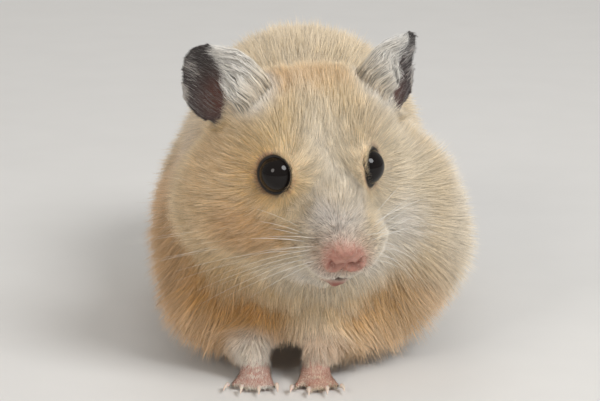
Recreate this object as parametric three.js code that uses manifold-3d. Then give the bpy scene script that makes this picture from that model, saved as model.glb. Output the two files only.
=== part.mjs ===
// A Syrian hamster crouching on all fours, with its head raised and turned a little to its left.
// Millimetres, +Z up. It faces -Y, its left side is towards +X, and it stands on z = 0.
// The solids reach to the tips of the coat. The body is blended from a few round masses, as a
// modeller builds up clay, and is then parted into its nodes by thin cuts.
import * as THREE from "three";
import { mergeVertices } from "three/addons/utils/BufferGeometryUtils.js";
import Module from "manifold-3d";

const wasm = await Module();
wasm.setup();

// Driving dimensions
const BODY_WIDTH = 69;
const BACK_HEIGHT = 61;
const BARREL_LENGTH = 80;
const HEAD_TURN = THREE.MathUtils.degToRad(19); // to its left
const HEAD_NOD = THREE.MathUtils.degToRad(24); // nose down
const NOSE_TIP = new THREE.Vector3(7.5, -62, 31);
const EYE = { radius: 3.6, at: [8.4, 14.8, 8] };
const EAR = {
  width: 16.2,
  length: 13.6,
  thickness: 1.3,
  cup: 3.4,
  base: [13.2, 27, 19.4], // in the head, for its left ear
  along: [0.7, 0.64, -0.2], // from the base to the tip
  open: [0.75, -0.6, 0.25], // out of the open face
};
const GAP = 0.3; // between neighbouring solids
const SOFTNESS = 7; // how far two masses melt into each other

const SIDES = [
  { name: "left", sign: 1 },
  { name: "right", sign: -1 },
];

// Materials
const matter = (color, roughness) =>
  new THREE.MeshStandardMaterial({ color, roughness, metalness: 0 });
const GOLDEN_FUR = matter(0xe3c193, 0.9);
const PALE_FUR = matter(0xe9d6bd, 0.9);
const EAR_SKIN = matter(0x4a4244, 0.8);
const PINK_SKIN = matter(0xd9a79c, 0.6);
const BLACK_EYE = matter(0x070606, 0.05);
const CLAW_HORN = matter(0xe6d3c4, 0.4);

// Frames. Head-local axes: x to its left, y to the back, z up, from the tip of the nose.
const hamster = new THREE.Group();
const headFrame = new THREE.Group();
headFrame.position.copy(NOSE_TIP);
headFrame.rotation.set(HEAD_NOD, 0, HEAD_TURN, "ZYX");
hamster.add(headFrame);
hamster.updateMatrixWorld(true);

const inBody = (x, y, z) => new THREE.Matrix4().makeTranslation(x, y, z);
const inHead = (x, y, z) => headFrame.matrixWorld.clone().multiply(inBody(x, y, z));
const turned = (place, x = 0, y = 0, z = 0) =>
  place.clone().multiply(new THREE.Matrix4().makeRotationFromEuler(new THREE.Euler(x, y, z)));
const pointOf = (place) => new THREE.Vector3().setFromMatrixPosition(place);

// A round mass: the signed distance to an ellipsoid at a place, which blend() takes.
function mass(place, radii) {
  const toLocal = place.clone().invert();
  const radius = new THREE.Vector3(...radii);
  const local = new THREE.Vector3();
  const scaled = new THREE.Vector3();
  return (point) => {
    local.copy(point).applyMatrix4(toLocal).divide(radius);
    const reach = local.length();
    return (reach * (reach - 1)) / Math.max(scaled.copy(local).divide(radius).length(), 1e-6);
  };
}

// One soft form made of several masses. Its value is below 0 inside.
function blend(masses, softness = SOFTNESS) {
  return (point) =>
    masses.reduce((near, distance) => {
      const next = distance(point);
      const overlap = Math.max(softness - Math.abs(near - next), 0) / softness;
      return Math.min(near, next) - (overlap * overlap * softness) / 4;
    }, Infinity);
}

// A closed mesh as a solid, without the faces that shrink to a line at its poles.
function solid(geometry) {
  const bare = geometry.clone();
  for (const name of ["normal", "uv"]) bare.deleteAttribute(name);
  const merged = mergeVertices(bare, 1e-3);
  const triangles = [];
  for (let i = 0; i < merged.index.count; i += 3) {
    const [a, b, c] = [0, 1, 2].map((k) => merged.index.getX(i + k));
    if (a !== b && b !== c && c !== a) triangles.push(a, b, c);
  }
  return new wasm.Manifold(
    new wasm.Mesh({
      numProp: 3,
      vertProperties: merged.attributes.position.array,
      triVerts: new Uint32Array(triangles),
    }),
  );
}

// A ball whose points are pushed out from a centre until they meet the form's surface.
function wrap(form, centre, detail, grow = 0, reach = 75) {
  const STEP = 1.5;
  const geometry = new THREE.IcosahedronGeometry(1, detail);
  const position = geometry.attributes.position;
  const ray = new THREE.Vector3();
  const point = new THREE.Vector3();
  const inside = (t) => form(point.copy(centre).addScaledVector(ray, t)) < grow;
  for (let i = 0; i < position.count; i += 1) {
    ray.fromBufferAttribute(position, i).normalize();
    let near = 0;
    while (near + STEP < reach && inside(near + STEP)) near += STEP;
    let far = near + STEP;
    while (far - near > 0.002) {
      const middle = (near + far) / 2;
      if (inside(middle)) near = middle;
      else far = middle;
    }
    position.setXYZ(i, ...point.copy(centre).addScaledVector(ray, near));
  }
  return solid(geometry);
}

// An ellipsoid as a solid.
function ball(place, radii, detail) {
  const geometry = new THREE.IcosahedronGeometry(1, detail);
  return solid(geometry.scale(...radii).applyMatrix4(place));
}

// A big block on the far side of a plane through a place, facing its local +Y.
function beyond(place, shift = 0) {
  const SIZE = 400;
  const block = new THREE.BoxGeometry(SIZE, SIZE, SIZE);
  return solid(block.translate(0, SIZE / 2 + shift, 0).applyMatrix4(place));
}

const FLOOR = solid(new THREE.BoxGeometry(400, 400, 100).translate(0, 0, -50));

// The largest body of a cut solid, without loose slivers.
const largest = (cut) =>
  cut.decompose().reduce((most, body) => (body.volume() > most.volume() ? body : most));

function addPart(parent, name, made, material) {
  const mesh = largest(made).getMesh();
  const geometry = new THREE.BufferGeometry()
    .setAttribute("position", new THREE.BufferAttribute(mesh.vertProperties, 3))
    .setIndex(new THREE.BufferAttribute(mesh.triVerts, 1))
    .applyMatrix4(parent.matrixWorld.clone().invert());
  geometry.computeVertexNormals();
  const part = new THREE.Mesh(geometry, material);
  part.name = name;
  parent.add(part);
}

// Body masses
const trunkMasses = [
  mass(inBody(0.5, 13, BACK_HEIGHT - 26.5), [26, BARREL_LENGTH / 2, 25.5]), // barrel
  mass(inBody(0.8, 9, 20), [BODY_WIDTH / 2 - 1, 36, 17.5]), // belly and flanks
  mass(inBody(0.5, 33, 27), [27, 22, 24]), // rump
  mass(inBody(1, -16, 21.5), [31.5, 23, 19.5]), // shoulders
  mass(inBody(1.5, -31, 18), [18, 14, 14]), // chest
];
const haunchPlace = (sign) => inBody(sign * 20, 27, 18);
const thighMasses = SIDES.map(({ sign }) => mass(haunchPlace(sign), [12, 18, 16]));
const neckMasses = [mass(inBody(2.5, -24, 36), [24.5, 20, 22])];

// Head masses. The muzzle's are the smallest and melt the least.
const muzzleForm = blend(
  [
    mass(inHead(0, 6, -1.6), [5, 5.4, 5]), // muzzle
    ...SIDES.map(({ sign }) => mass(inHead(sign * 3.7, 6.8, -5), [4.3, 5, 4.9])), // pads
    mass(inHead(0, 8.2, -11), [4.6, 5.4, 3.6]), // chin
  ],
  2,
);
const headForm = blend(
  [
    muzzleForm,
    ...SIDES.flatMap(({ sign }) => [
      mass(inHead(sign * 5.8, 26, 7), [12, 13.5, 14.8]), // cranium
      mass(inHead(sign * 7, 15, -4), [7, 8, 7.5]), // jaw
      mass(inHead(sign * 12.5, 24.5, -4), [11, 13, 12]), // cheek pouches
    ]),
    mass(turned(inHead(0, 14, 4), -0.25), [7.6, 12.5, 7.2]), // brow and bridge
    mass(inHead(0, 22, -11), [14, 13, 9]), // throat
  ],
  5,
);
const whole = blend([...trunkMasses, ...thighMasses, ...neckMasses, headForm]);

// Thin cuts across the neck, slanted from the nape down to the throat. Each faces the back.
const napeCut = turned(inHead(0, 27, 0), -0.8);
const shoulderCut = turned(inBody(0, -21, 33), -0.3);

// Eyes
const eyePlace = (sign) => inHead(sign * EYE.at[0], EYE.at[1], EYE.at[2]);
const eye = (sign, grow = 0) => {
  const radius = EYE.radius + grow;
  return ball(eyePlace(sign), [radius, radius, radius], 2);
};

// The nose pad, with its two nostrils
const NOSE_PAD = { width: 5.3, depth: 3.6, height: 4.6 };
const nosePad = (grow = 0) =>
  ball(
    inHead(0, 1.4, -0.3),
    [NOSE_PAD.width, NOSE_PAD.depth, NOSE_PAD.height].map((size) => size / 2 + grow),
    2,
  );
const nostril = (sign) =>
  ball(turned(inHead(sign * 1.5, 0.2, -1.3), 0, sign * 0.6), [0.8, 0.9, 0.45], 0);

// The mouth, a shallow slot under the muzzle
const mouth = ball(turned(inHead(0, 4, -10.2), 0.2), [3.6, 3.4, 0.4], 1);

// A place turned so that its local z runs along one direction and its -y looks along another.
function aimed(place, along, facing) {
  const up = new THREE.Vector3(...along).normalize();
  const back = new THREE.Vector3(...facing).negate();
  back.addScaledVector(up, -back.dot(up)).normalize();
  const across = new THREE.Vector3().crossVectors(back, up);
  return place.clone().multiply(new THREE.Matrix4().makeBasis(across, back, up));
}

// Ears: a flat round leaf, drawn out to the ear's outline and cupped towards its open face
function ear(sign) {
  const AROUND = 18;
  const ACROSS = 8;
  const geometry = new THREE.SphereGeometry(1, AROUND, ACROSS);
  const position = geometry.attributes.position;
  const point = new THREE.Vector3();
  for (let i = 0; i < position.count; i += 1) {
    point.fromBufferAttribute(position, i);
    const spread = Math.hypot(point.x, point.z);
    const low = Math.max(-point.z, 0); // towards the base, where the ear narrows
    const inner = Math.max(-point.x, 0); // towards the crown, where the rim folds forward
    const crinkle = 0.5 * Math.sin(3 * Math.atan2(point.z, point.x)) * spread ** 4;
    position.setXYZ(
      i,
      sign * (EAR.width / 2) * point.x * (1 - 0.3 * low * spread),
      (EAR.thickness / 2) * point.y - EAR.cup * spread ** 2 * (0.75 + 0.55 * inner) - crinkle,
      (EAR.length / 2) * (point.z + 0.8),
    );
  }
  if (sign < 0) {
    const index = geometry.index;
    for (let i = 0; i < index.count; i += 3) {
      const first = index.getX(i);
      index.setX(i, index.getX(i + 1));
      index.setX(i + 1, first);
    }
  }
  const mirrored = ([x, y, z]) => [sign * x, y, z];
  const place = aimed(inHead(...mirrored(EAR.base)), mirrored(EAR.along), mirrored(EAR.open));
  return solid(geometry.applyMatrix4(place));
}

// Legs. A foot's place is the middle of its sole, and its local -Y points along its toes.
const TOE_SIDES = 5;
const FORE = { toes: 4, fan: 0.36, palm: [3.2, 4.4, 2.5], toe: 5.2, thick: 1.05, ahead: 2.6 };
const HIND = { toes: 5, fan: 0.3, palm: [3.4, 8.6, 2.9], toe: 6.2, thick: 1.2, ahead: 6 };
const forePlace = {
  left: turned(inBody(3, -45, 0), 0, 0, 0.05),
  right: turned(inBody(-8.5, -44.5, 0), 0, 0, -0.1),
};
const hindPlace = {
  left: turned(inBody(23, 13, 0), 0, 0, 0.2),
  right: turned(inBody(-23, 13, 0), 0, 0, -0.2),
};

// Where each toe starts and which way it points.
function toePlaces(foot, { toes, fan, palm, ahead }) {
  return Array.from({ length: toes }, (_, i) => {
    const side = (2 * i) / (toes - 1) - 1;
    const root = inBody(side * palm[0] * 0.85, -ahead + 1.4 * side * side, 0.95);
    return turned(foot.clone().multiply(root), 0, 0, side * fan);
  });
}

function toe(place, { toe: length, thick }, grow = 0) {
  const profile = [
    [0, -1.6],
    [0.95, 0],
    [0.85, length * 0.75],
    [0, length],
  ].map(([across, along]) => new THREE.Vector2(across * thick + (across && grow), along));
  const geometry = new THREE.LatheGeometry(profile, TOE_SIDES).rotateX(Math.PI);
  return solid(geometry.applyMatrix4(place));
}

// A claw is a bent cone that grows from the tip of its toe.
const CLAW = { length: 2.7, thick: 0.5, droop: 0.5 };
function claw(place, { toe: length }, grow = 0) {
  const rings = [0, 0.5, 1];
  const profile = rings.map((t) => {
    const radius = t < 1 ? CLAW.thick * (1 - 0.55 * t) + grow : 0;
    return new THREE.Vector2(radius, t * CLAW.length + (t - 0.4) * grow);
  });
  const geometry = new THREE.LatheGeometry([new THREE.Vector2(0, -grow), ...profile], 5);
  const position = geometry.attributes.position;
  for (let i = 0; i < position.count; i += 1) {
    const along = position.getY(i) / CLAW.length;
    position.setZ(i, position.getZ(i) + CLAW.droop * along * along);
  }
  geometry.rotateX(Math.PI).translate(0, -length * 0.84, 0.35);
  return solid(geometry.applyMatrix4(place));
}

function foot(place, shape, grow = 0) {
  const { palm, ahead } = shape;
  const sole = ball(
    place.clone().multiply(inBody(0, palm[1] - ahead - 1.5, palm[2] - 0.5)),
    palm.map((radius) => radius + grow),
    1,
  );
  const toes = toePlaces(place, shape).map((at) => toe(at, shape, grow));
  return toes.reduce((made, one) => made.add(one), sole);
}

// Forelegs, from under the shoulder to the wrist
const forelegForm = ({ name, sign }, grow) => {
  const wrist = pointOf(forePlace[name]).add(new THREE.Vector3(0, 1.5, 6.5));
  const elbow = new THREE.Vector3(sign * 17, -30, 11);
  const middle = elbow.clone().lerp(wrist, 0.55);
  const form = blend(
    [
      mass(inBody(...elbow), [8.5, 9, 9.5]),
      mass(inBody(...middle), [6, 6.5, 6.5]),
      mass(inBody(...wrist), [3.6, 4, 3.8]),
    ],
    4,
  );
  return wrap(form, middle, 3, grow, 40);
};

const tailForm = blend([
  mass(turned(inBody(0, 53, 15.5), -0.35), [3, 6, 3]),
  mass(turned(inBody(0, 58, 13.4), -0.5), [1.7, 4.6, 1.7]),
]);
const tail = (grow = 0) => wrap(tailForm, new THREE.Vector3(0, 55, 14.6), 1, grow, 14);

// The body whole, as three pieces of one surface
const headBall = wrap(whole, pointOf(inHead(0, 21, 1)), 7, 0, 60);
const neckBall = wrap(whole, pointOf(inBody(2.5, -26, 33)), 6, 0, 60);
const trunkBall = wrap(whole, pointOf(inBody(0, 14, 30)), 7, 0, 62);

// What is sunk into the head, neck and trunk, a gap larger than it is
const haunchRegion = (sign, grow = 0) =>
  ball(haunchPlace(sign), [15, 20, 18].map((radius) => radius + grow), 2);
const forelegs = SIDES.map((side) => forelegForm(side, 0));
const grownForelegs = SIDES.map((side) => forelegForm(side, GAP));
const feet = SIDES.flatMap(({ name }) => [
  { name: `forepaw_${name}`, place: forePlace[name], shape: FORE },
  { name: `hindfoot_${name}`, place: hindPlace[name], shape: HIND },
]);
const grownFeet = feet.map(({ place, shape }) => foot(place, shape, GAP));
const cutBy = (made, tools) => tools.reduce((left, tool) => left.subtract(tool), made);

const head = cutBy(headBall, [
  beyond(napeCut),
  nosePad(GAP),
  mouth,
  ...SIDES.map(({ sign }) => eye(sign, GAP)),
  ...grownForelegs,
  ...grownFeet,
]);
const neck = cutBy(neckBall.intersect(beyond(napeCut, GAP)), [
  beyond(shoulderCut),
  ...grownForelegs,
  ...grownFeet,
  FLOOR,
]);
const trunkWhole = cutBy(trunkBall.intersect(beyond(shoulderCut, GAP)), [
  tail(GAP),
  ...grownForelegs,
  ...grownFeet,
  FLOOR,
]);

addPart(headFrame, "head", head, GOLDEN_FUR);
addPart(headFrame, "nose", cutBy(nosePad(), SIDES.map(({ sign }) => nostril(sign))), PINK_SKIN);
addPart(hamster, "neck", neck, GOLDEN_FUR);
addPart(
  hamster,
  "trunk",
  cutBy(trunkWhole, SIDES.map(({ sign }) => haunchRegion(sign, GAP))),
  PALE_FUR,
);
addPart(hamster, "tail", tail(), PINK_SKIN);

const skull = [wrap(whole, pointOf(inHead(0, 21, 1)), 7, GAP, 60), neckBall];
SIDES.forEach(({ name, sign }, i) => {
  addPart(headFrame, `eye_${name}`, eye(sign), BLACK_EYE);
  addPart(headFrame, `ear_${name}`, cutBy(ear(sign), skull), EAR_SKIN);
  addPart(hamster, `foreleg_${name}`, cutBy(forelegs[i], [...grownFeet, FLOOR]), PALE_FUR);
  addPart(hamster, `hindleg_${name}`, trunkWhole.intersect(haunchRegion(sign)), PALE_FUR);
});

for (const { name, place, shape } of feet) {
  const toes = toePlaces(place, shape);
  const grownClaws = toes.map((at) => claw(at, shape, GAP));
  addPart(hamster, name, cutBy(foot(place, shape), [...grownClaws, FLOOR]), PINK_SKIN);
  toes.forEach((at, i) => addPart(hamster, `claw_${name}_${i + 1}`, claw(at, shape), CLAW_HORN));
}

// The origin is on the floor, under the middle of the whole animal.
const bounds = new THREE.Box3().setFromObject(hamster, true);
const middle = bounds.getCenter(new THREE.Vector3());
hamster.position.set(-middle.x, -middle.y, -bounds.min.z);

export default hamster;
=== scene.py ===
"""A crouching Syrian hamster, dressed over its CAD solids: one skin, bright eyes, claws,
whiskers and a coat of solid tufts that follow the lie of the fur."""

import math
from functools import cached_property

import bmesh
import bpy
import numpy as np
from bpy.props import FloatProperty, FloatVectorProperty, IntProperty, PointerProperty
from mathutils import Matrix, Vector
from mathutils.bvhtree import BVHTree


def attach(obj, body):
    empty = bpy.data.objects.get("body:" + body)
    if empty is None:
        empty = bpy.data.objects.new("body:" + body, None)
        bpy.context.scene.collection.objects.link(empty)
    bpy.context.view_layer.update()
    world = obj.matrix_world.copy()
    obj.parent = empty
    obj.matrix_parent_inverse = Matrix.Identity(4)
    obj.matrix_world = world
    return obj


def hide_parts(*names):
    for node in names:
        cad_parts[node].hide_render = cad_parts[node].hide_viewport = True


bl_info = {
    "name": "Crouching Hamster",
    "version": (1, 0, 0),
    "blender": (4, 5, 0),
    "location": "View3D > Sidebar > Hamster",
    "description": "Builds a Syrian hamster with a solid tufted coat over its CAD solids",
    "category": "Object",
}

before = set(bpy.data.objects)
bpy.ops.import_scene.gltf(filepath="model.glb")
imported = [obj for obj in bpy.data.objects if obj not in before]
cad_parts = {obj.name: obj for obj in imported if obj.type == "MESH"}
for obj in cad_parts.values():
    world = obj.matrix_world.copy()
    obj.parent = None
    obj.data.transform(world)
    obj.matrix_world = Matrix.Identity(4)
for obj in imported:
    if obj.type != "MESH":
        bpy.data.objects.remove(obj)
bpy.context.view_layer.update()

MM = 0.001
SIDES = {"left": 1, "right": -1}
FEET = {"forepaw": 4, "hindfoot": 5}
PAIRED_FLESH = ("ear", "foreleg", "forepaw", "hindleg", "hindfoot")
FLESH = ["head", "neck", "trunk", "tail", "nose"]
FLESH += [f"{part}_{side}" for part in PAIRED_FLESH for side in SIDES]
CLAWS = [
    f"claw_{foot}_{side}_{toe + 1}"
    for foot, toes in FEET.items()
    for side in SIDES
    for toe in range(toes)
]

# Places are in millimetres. In the head, x runs to its left, y to the back and z up, from the
# tip of the nose. Elsewhere they are in the row's own frame.
NOSE_TIP = np.array([6.844, -61.026, 31.0])
HEAD_NOD = math.radians(24)
HEAD_TURN = math.radians(19)
LEAN_ABOVE, LEAN_MORE_BELOW = 0.5, 1.75  # how far the muzzle leans to its left
EYE_AT = np.array([8.4, 14.8, 7.6])
EYE_AXIS = np.array([0.74, -0.60, 0.30])
LID_ACROSS, LID_UP = 1.01, 1.10  # half the lids' opening, in radians
LID_THICKNESS = 0.34
MOUTH_AT = np.array([0.1, 4.4, -11.6])
EAR_AT = np.array([13.2, 27.0, 19.4])
EAR_ALONG = np.array([0.7, 0.64, -0.2])
EAR_OPEN = np.array([0.75, -0.6, 0.25])
EAR_HALF = (8.1, 6.8)  # half an ear's width and length
EAR_CUP = 3.4
EAR_RISE = 0.8  # from its foot to its middle, in half lengths
EAR_NARROWING = 0.3
LOWER_FORELEGS = ((-9.2, -44, 6), (2.4, -44, 6))
PAWS = ((-9.2, -47, 1.5), (2.4, -47, 1.5))
HIND_FEET = ((22.4, 11, 1.5), (-23.7, 11, 1.5))
TAIL = (-0.65, 59, 13)


# ---------------------------------------------------------------- small maths


def unit(v):
    v = np.asarray(v, float)
    return v / np.maximum(np.linalg.norm(v, axis=-1, keepdims=True), 1e-9)


def ramp(x, low, high):
    """0 below low, 1 above high and smooth between."""
    t = np.clip((np.asarray(x, float) - low) / (high - low), 0, 1)
    return t * t * (3 - 2 * t)


def fall(x, low, high):
    """1 below low, 0 above high and smooth between."""
    return 1 - ramp(x, low, high)


def lay_over(values, share, others):
    """Moves rows of values towards others, by a share of the way at each row."""
    values += share[:, None] * (np.asarray(others) - values)


def soft_spot(points, middle, half):
    """1 in the middle of a spot, falling off over its half sizes."""
    return np.exp(-(np.linalg.norm((points - middle) / half, axis=1) ** 2))


def turn_about(axis, angle):
    c, s = math.cos(angle), math.sin(angle)
    if axis == "X":
        return np.array([[1, 0, 0], [0, c, -s], [0, s, c]])
    return np.array([[c, -s, 0], [s, c, 0], [0, 0, 1]])


HEAD_AXES = turn_about("Z", HEAD_TURN) @ turn_about("X", HEAD_NOD)


def lean_of_muzzle(y, z):
    """How far the muzzle leans to its left, more towards the chin."""
    lean = LEAN_ABOVE + LEAN_MORE_BELOW * ramp(-z, -4, 5)
    return lean * fall(y, 6, 14) * fall(-z, 13, 20)


def straight_into_head(points):
    """Places in the head's frame, with the lean left in."""
    return (points - NOSE_TIP) @ HEAD_AXES


def into_head(points):
    """Places in the head's frame, with the lean taken out."""
    local = straight_into_head(points)
    local[..., 0] -= lean_of_muzzle(local[..., 1], local[..., 2])
    return local


def out_of_head(points):
    """Places in the row's frame, from those that into_head gives."""
    local = np.array(points, float)
    local[..., 0] += lean_of_muzzle(local[..., 1], local[..., 2])
    return NOSE_TIP + local @ HEAD_AXES.T


def mirrored(v, side):
    return np.asarray(v, float) * [side, 1, 1]


def ear_frame(side):
    """An ear's base and its axes: across the leaf, out of its back, and along it."""
    along = unit(mirrored(EAR_ALONG, side))
    back = -mirrored(EAR_OPEN, side)
    back = unit(back - along * (back @ along))
    axes = np.stack([np.cross(back, along), back, along], 1)
    return out_of_head(mirrored(EAR_AT, side)), HEAD_AXES @ axes


def ear_sheet(across, along, spread):
    """How far in front of its foot the cupped and crinkled sheet of an ear lies."""
    inner = np.maximum(-across, 0)
    crinkle = 0.5 * np.sin(3 * np.arctan2(along, across)) * spread**4
    return -EAR_CUP * spread**2 * (0.75 + 0.55 * inner) - crinkle


def on_ear(points, side):
    """Where points lie on an ear's leaf: how far across and along it from its middle, in half
    sizes, the distance from the middle, and the height over its own curved sheet."""
    base, axes = ear_frame(side)
    local = (points - base) @ axes
    along = local[:, 2] / EAR_HALF[1] - EAR_RISE
    across = side * local[:, 0] / EAR_HALF[0]
    spread = np.hypot(across, along)
    across = across / (1 - EAR_NARROWING * np.maximum(-along, 0) * np.minimum(spread, 1))
    spread = np.hypot(across, along)
    return across, along, spread, local[:, 1] - ear_sheet(across, along, np.minimum(spread, 1.2))


def on_leaf(side, across, along, height):
    """Places at a height over the open face of an ear, from places on its leaf."""
    base, axes = ear_frame(side)
    spread = np.minimum(np.hypot(across, along), 1.05)
    x = side * across * EAR_HALF[0] * (1 - EAR_NARROWING * np.clip(-along, 0, 1) * spread)
    y = ear_sheet(across, along, spread) - height
    return base + np.stack([x, y, EAR_HALF[1] * (along + EAR_RISE)], -1) @ axes.T


def leaf_share(along, spread, over):
    """1 on the leaf of an ear and 0 off it."""
    return fall(np.abs(over), 1.4, 2.4) * fall(spread, 1.15, 1.35) * ramp(along, -0.75, -0.35)


def ear_share(points):
    """1 on the leaf of either ear and 0 off both."""
    return np.max([leaf_share(*on_ear(points, side)[1:]) for side in SIDES.values()], 0)


def eye_polar(points, side):
    """How far points lie outside the opening of an eye's lids, in radians, and the distance
    and direction from the eye's middle."""
    centre = out_of_head(mirrored(EYE_AT, side))
    axis = unit(mirrored(EYE_AXIS, side)) @ HEAD_AXES.T
    up = unit(HEAD_AXES[:, 2] - axis * (HEAD_AXES[:, 2] @ axis))
    across = np.cross(up, axis)
    offset = points - centre
    far = np.linalg.norm(offset, axis=1)
    ray = offset / np.maximum(far, 1e-6)[:, None]
    angle = np.arccos(np.clip(ray @ axis, -1, 1))
    round_it = np.arctan2(ray @ up, ray @ across)
    opening = np.hypot(LID_ACROSS * np.cos(round_it), LID_UP * np.sin(round_it))
    return angle - opening, far, ray


# ---------------------------------------------------------------- the coat's map

# Each area is (frame, middle, half sizes, softness, and what the coat is like there: its
# length, depth, width of a tuft, share of tufts and lift from the skin in degrees).
AREAS = [
    ("head", (0, 21, 1), (28, 25, 27), 0.25, (4.8, 2.4, 0.13, 2.4, 19)),
    ("body", (-21, -31, 27), (10, 13, 16), 0.9, (9.5, 0.8, 0.14, 2.0, 24)),
    ("body", (25, -27, 27), (9, 13, 16), 0.9, (9.5, 0.8, 0.14, 2.0, 24)),
    ("head", (0, 12, 5), (11.5, 13, 10), 0.6, (2.7, 1.3, 0.11, 4.0, 18)),
    ("head", (0, 5, -4), (9.5, 8.5, 9), 0.5, (1.6, 0.6, 0.085, 6.5, 21)),
    ("head", (-0.2, 0.8, -3.6), (5.2, 4.0, 5.5), 0.8, (0.6, 0.05, 0.05, 0.9, 26)),
    ("head", (0.0, 0.6, -4.1), (3.5, 3.1, 3.7), 0.5, (0.4, 0.02, 0.05, 0.0, 20)),
    *(("body", leg, (8, 11, 7), 0.9, (3.0, 1.0, 0.12, 2.2, 16)) for leg in LOWER_FORELEGS),
    *(("body", paw, (8, 9, 4), 0.9, (1.1, 0.1, 0.08, 3.2, 9)) for paw in PAWS),
    *(("body", foot, (8, 15, 4.5), 0.6, (1.1, 0.1, 0.08, 3.0, 9)) for foot in HIND_FEET),
    ("body", TAIL, (5.5, 9, 6.5), 0.9, (2.2, 0.3, 0.12, 2.4, 12)),
]
WHOLE_BODY = (7.6, 3.9, 0.15, 1.0, 17)
ON_EARS = (0.6, 0.1, 0.08, 1.8, 10)

# Where the skin is bare and pink, but for the nose: (middle, half sizes).
BARE = [
    *((paw, (7, 8.5, 4)) for paw in PAWS),
    *((foot, (8, 14, 4)) for foot in HIND_FEET),
    (TAIL, (4, 6, 5)),
]

DYES = ("golden", "orange", "pale", "white", "grey", "rosy", "ear", "hollow")

# Markings, in the same way: a colour, and how strongly it is laid over what is under it. Some
# rows are painted light or painted shade, as said above them.
MARKS = [
    ("body", (0, 0, 0), (60, 90, 12), 1.2, "pale", 0.9),
    ("body", (0, 12, 62), (26, 55, 22), 0.8, "pale", 0.2),
    # Painted shade: the left flank is laid over with orange for the warm shade on that side.
    ("body", (-29, -18, 24), (15, 36, 24), 0.9, "orange", 0.9),
    # Partly the flank's own pale colour, partly painted light: the right flank is made paler
    # where the light falls on it.
    ("body", (28, -12, 30), (14, 34, 22), 0.8, "pale", 0.8),
    # Partly the chest's own orange, partly painted shade: the low chest is made deeper orange
    # for the warm shade there.
    ("body", (-13, -34, 15), (16, 18, 15), 0.8, "orange", 0.9),
    ("body", (14, -34, 14), (13, 16, 12), 0.8, "orange", 0.75),
    ("body", (3, -44, 19), (6, 14, 10), 0.9, "pale", 0.6),
    ("body", (-8, -46, 5), (8, 8, 7), 0.8, "white", 0.7),
    ("body", (3, -46, 6), (6, 8, 6), 0.8, "rosy", 0.25),
    ("body", (-24, 0, 39), (7, 12, 8), 1.3, "white", 0.35),
    ("body", (23.5, -26, 44), (7, 11, 10), 1.4, "white", 0.55),
    ("head", (0, 20, 2), (27, 24, 25), 0.35, "golden", 0.9),
    # Partly the crown's own orange, partly painted shade darkening the top of the head.
    ("head", (-1.5, 23, 24), (10, 8, 6), 0.9, "orange", 0.75),
    ("head", (-3, 15, 18), (3, 8, 6), 1.3, "pale", 0.4),
    ("head", (0, 13, 11), (6, 8, 8), 1.0, "pale", 0.75),
    # Partly the cheek's own orange, partly painted shade on the left cheek.
    ("head", (-17, 16, 2), (8, 12, 12), 1.0, "orange", 0.4),
    ("head", (0, 6, 5.5), (6, 6, 4.5), 1.2, "white", 0.4),
    ("head", (-0.5, 3, 2.4), (5.5, 5, 4.5), 1.1, "grey", 0.75),
    ("head", (0, 5, -6), (10, 8, 8), 0.9, "pale", 0.8),
    ("head", (0, 3, -7), (6, 6, 7), 0.9, "white", 0.5),
    ("head", (-11.5, 24.5, 18), (4.5, 5, 4.5), 1.2, "white", 0.8),
    ("head", (12, 23.5, 17.5), (5, 5, 5), 1.3, "white", 0.6),
    ("head", (-12.5, 11, -2.5), (5.5, 7, 5), 1.0, "orange", 0.85),
    # Partly the cheek's own pale colour, partly painted light on the right cheek.
    ("head", (15, 16, 2), (10, 14, 16), 1.0, "pale", 0.8),
    ("head", (1, 8, -13), (11, 9, 6), 0.9, "pale", 0.9),
    ("head", (1, 6, -12), (7, 7, 5), 1.0, "white", 0.5),
    ("head", (13, 10, -8), (8, 9, 8), 1.0, "white", 0.6),
    ("head", (-13.5, 26, 21), (5, 6, 5), 0.9, "white", 0.6),
    ("head", (13.5, 24.5, 17), (5, 5, 6), 1.1, "white", 0.5),
    ("head", (-0.4, 1.4, -3.8), (5.6, 4.6, 5.4), 0.9, "rosy", 0.5),
]


def within(points, where, middle, half, softness):
    """1 inside an area, falling to 0 over its softness."""
    local = into_head(points) if where == "head" else points
    reach = np.linalg.norm((local - middle) / np.asarray(half, float), axis=1)
    return fall(reach, 1 - softness / 2, 1 + softness / 2)


def coat_at(points):
    """The coat's length, depth, width, share and lift at places on the skin."""
    coat = np.tile(np.array(WHOLE_BODY, float), (len(points), 1))
    length, depth, width, amount, lift = coat.T  # views, so a change to one changes the coat
    for where, middle, half, softness, values in AREAS:
        lay_over(coat, within(points, where, middle, half, softness), values)
    for side in SIDES.values():
        foot, _ = ear_frame(side)
        near = fall(np.linalg.norm(points - foot, axis=1), 7, 12)
        length *= 1 - 0.5 * near
        depth *= 1 - 0.5 * near
    lay_over(coat, ear_share(points), ON_EARS)
    for side in SIDES.values():
        outside, far, _ = eye_polar(points, side)
        near = fall(far, 5.2, 7.5)
        lid = fall(outside, 0.08, 0.16) * fall(far, 4.0, 4.3)
        close = near * np.minimum(fall(outside, 0.0, 0.55), fall(far, 4.0, 6.0))
        # Hair may be this long without crossing the eye, however it lies.
        clear_of_eye = 1.4 + 1.6 * np.maximum(far - 3.9, 0) + (1 - near) * 9
        length[:] = np.where(near > 0, np.minimum(length, clear_of_eye), length)
        depth *= 1 - 0.35 * close
        width *= 1 - 0.45 * close
        amount *= (1 + 1.5 * close) * (1 - lid)
    lift *= 0.6 + 0.4 * ramp(points[:, 2], 5, 18)  # flatter near the floor
    lips = np.linalg.norm((into_head(points) - MOUTH_AT) / [2.5, 5, 1.5], axis=1)
    length *= 0.25 + 0.75 * ramp(lips, 1, 3.2)
    amount *= ramp(lips, 0.9, 1.2)
    return coat


def linear(colour):
    """A colour as light, from the values that a screen shows."""
    colour = np.asarray(colour, float)
    return np.where(colour > 0.04045, ((colour + 0.055) / 1.055) ** 2.4, colour / 12.92)


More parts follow.
